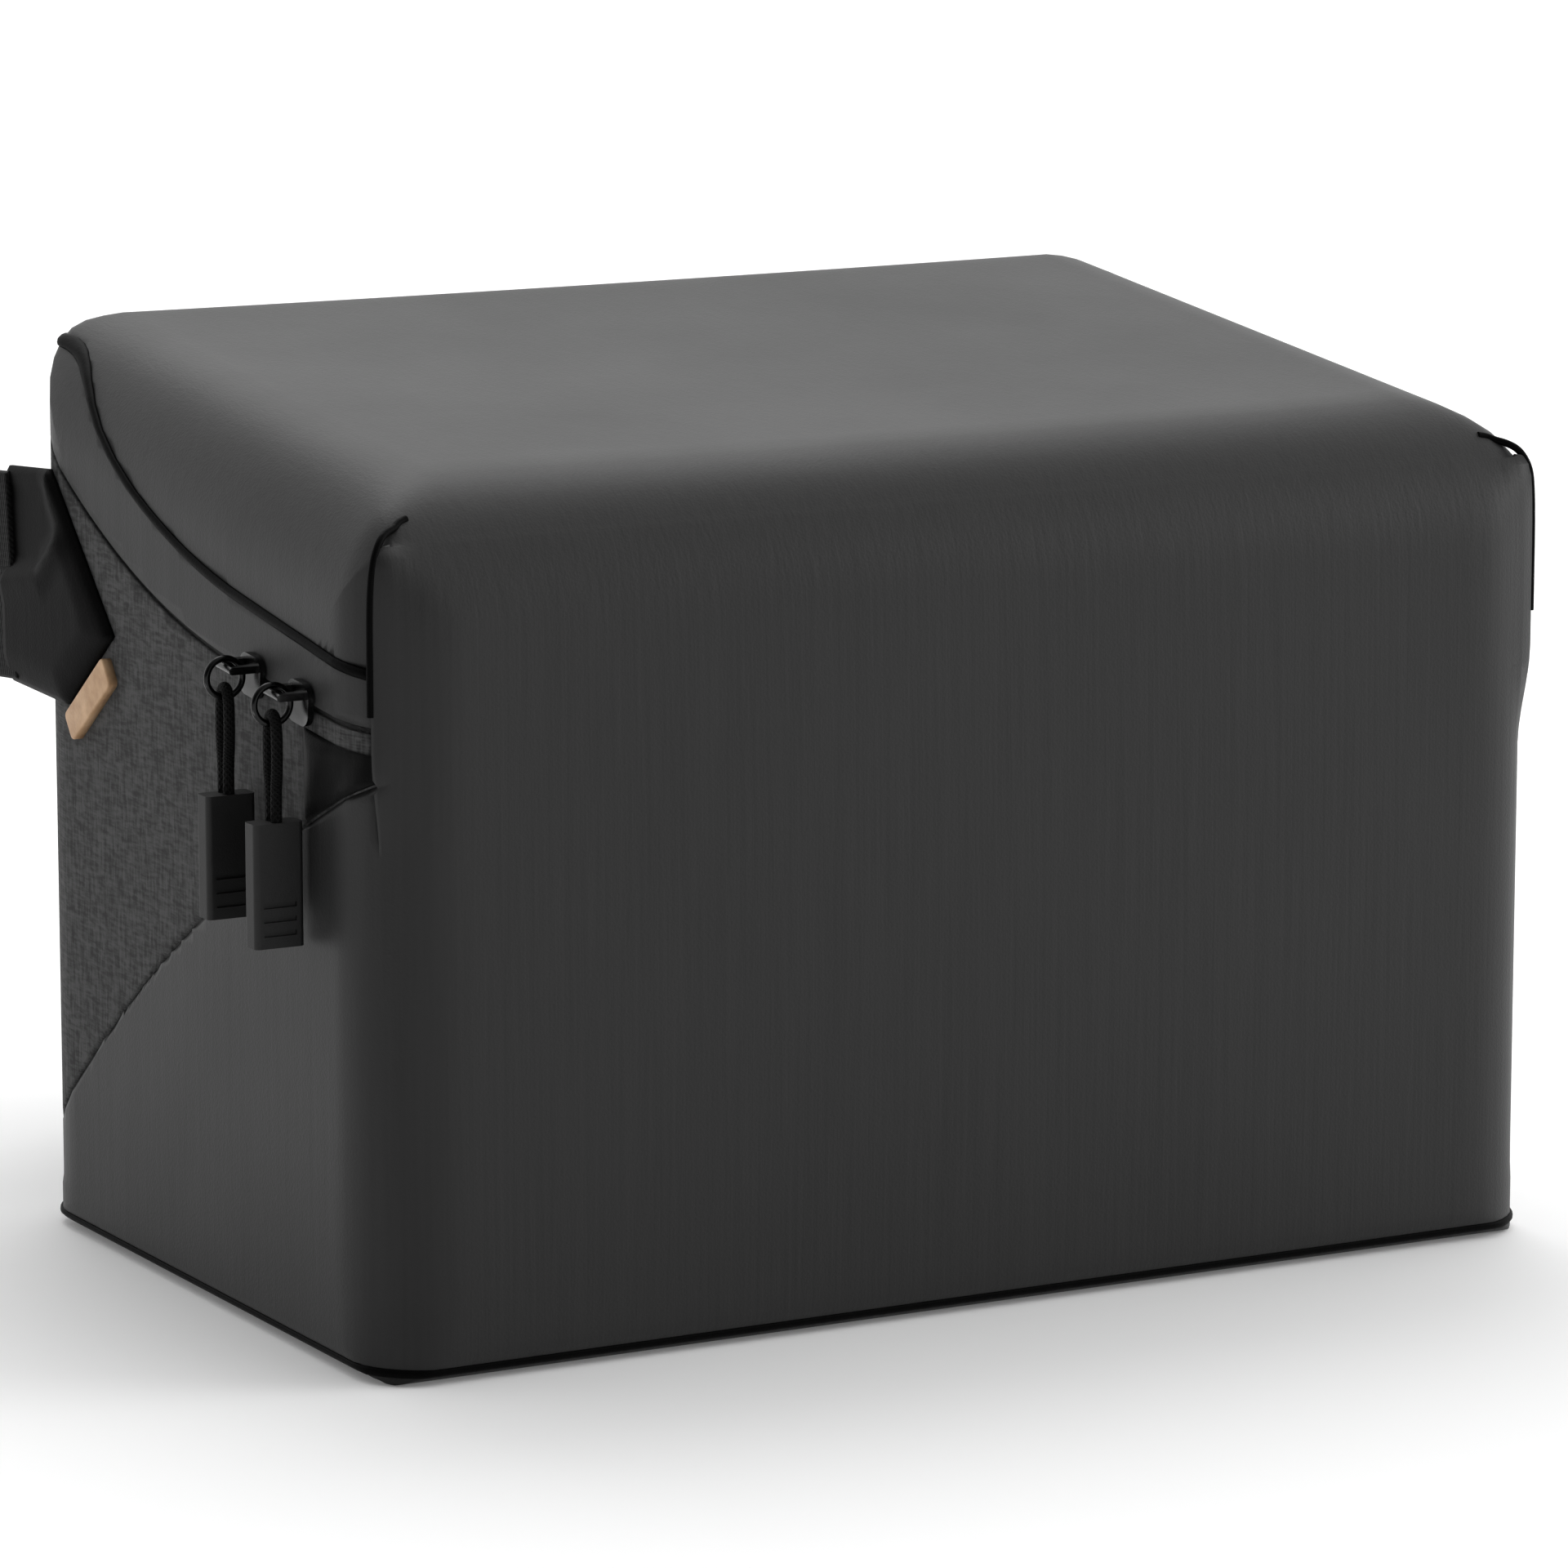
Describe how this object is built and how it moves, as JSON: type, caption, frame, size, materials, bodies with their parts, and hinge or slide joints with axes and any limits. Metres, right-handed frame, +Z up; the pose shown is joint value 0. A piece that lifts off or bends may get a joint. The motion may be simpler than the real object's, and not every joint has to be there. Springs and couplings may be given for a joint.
{
  "type": "battery safe bag",
  "caption": "Soft padded carrying bag for batteries: fire-resistant lining, front-folding zipped lid, dividers, two slider pulls and an adjustable webbing strap.",
  "frame": {"origin": "centre of the base, on the surface the bag stands on", "axes": "+X to the right along the bag's width, -Y out of the plain front panel, +Z up"},
  "size_m": [0.3255, 0.2863, 0.2176],
  "materials": {
    "coated_fabric": "satin coated cloth",
    "coated_fabric_lid": "satin coated cloth",
    "woven_fabric": "coarse heather weave",
    "band_fabric": "plain cloth",
    "base_fabric": "coated cloth",
    "binding": "ribbed tape",
    "piping": "satin",
    "foam": "closed-cell foam",
    "lining": "fire-resistant woven lining",
    "webbing": "ribbed webbing",
    "zip_tape": "knitted tape",
    "zip_coil": "satin",
    "slider_metal": "gloss black",
    "pull_cord": "braided",
    "pull_rubber": "matt",
    "leather": "tan, waxed edge",
    "fitting_plastic": "fine texture",
    "divider_fabric": "brushed loop cloth",
    "hook_tape": "hook tape"
  },
  "bodies": {
    "body": {"base_panel": "base_fabric", "front_cover": "coated_fabric", "side_panel_left": "woven_fabric", "side_panel_right": "woven_fabric", "back_panel": "woven_fabric", "base_piping": "piping", "base_pad": "foam", "side_pad_left": "foam", "side_pad_right": "foam", "front_pad": "foam", "back_pad": "foam", "body_liner": "lining", "body_rim_binding": "binding", "lower_zipper_tape": "zip_tape", "lower_zipper_coil": "zip_coil", "zip_gusset_left": "zip_tape", "zip_gusset_right": "zip_tape", "strap_wing_left": "webbing", "wing_tab_left": "leather", "strap_wing_right": "webbing", "wing_tab_right": "leather", "strap_left": "webbing", "strap_right": "webbing", "square_ring": "fitting_plastic"},
    "lid": {"lid_cover": "coated_fabric_lid", "lid_band": "band_fabric", "lid_piping": "piping", "lid_top_pad": "foam", "lid_side_pad_left": "foam", "lid_side_pad_right": "foam", "lid_liner": "lining", "lid_rim_binding": "binding", "upper_zipper_tape": "zip_tape", "upper_zipper_coil": "zip_coil"},
    "slider_rear": {"slider_rear": "slider_metal"},
    "slider_front": {"slider_front": "slider_metal"},
    "pull_rear": {"puller_ring_rear": "slider_metal", "pull_cord_rear": "pull_cord", "pull_tab_rear": "pull_rubber"},
    "pull_front": {"puller_ring_front": "slider_metal", "pull_cord_front": "pull_cord", "pull_tab_front": "pull_rubber"},
    "strap_adjuster": {"strap_adjuster": "fitting_plastic"},
    "divider_left": {"divider_left": "divider_fabric", "divider_hooks_left": "hook_tape"},
    "divider_right": {"divider_right": "divider_fabric", "divider_hooks_right": "hook_tape"}
  },
  "joints": [
    {"name": "lid_fold", "type": "hinge", "parent": "body", "child": "lid", "pos_m": [0, -0.1, 0.1462], "axis": [1, 0, 0], "range_deg": [0, 135]},
    {"name": "slider_rear_run", "type": "slide", "parent": "body", "child": "slider_rear", "axis": [0, 0.996, 0.0896], "range_m": [-0.004, 0.014]},
    {"name": "slider_front_run", "type": "slide", "parent": "body", "child": "slider_front", "axis": [0, 0.996, 0.0896], "range_m": [-0.014, 0.004]},
    {"name": "pull_rear_swing", "type": "hinge", "parent": "slider_rear", "child": "pull_rear", "pos_m": [-0.162, -0.03922, 0.15418], "axis": [0, 1, 0], "range_deg": [0, 150]},
    {"name": "pull_front_swing", "type": "hinge", "parent": "slider_front", "child": "pull_front", "pos_m": [-0.162, -0.06422, 0.15193], "axis": [0, 1, 0], "range_deg": [0, 150]},
    {"name": "adjuster_run", "type": "slide", "parent": "body", "child": "strap_adjuster", "axis": [1, 0, 0], "range_m": [-0.025, 0.025]},
    {"name": "divider_left_run", "type": "slide", "parent": "body", "child": "divider_left", "axis": [1, 0, 0], "range_m": [-0.025, 0.025]},
    {"name": "divider_right_run", "type": "slide", "parent": "body", "child": "divider_right", "axis": [1, 0, 0], "range_m": [-0.025, 0.025]}
  ]
}
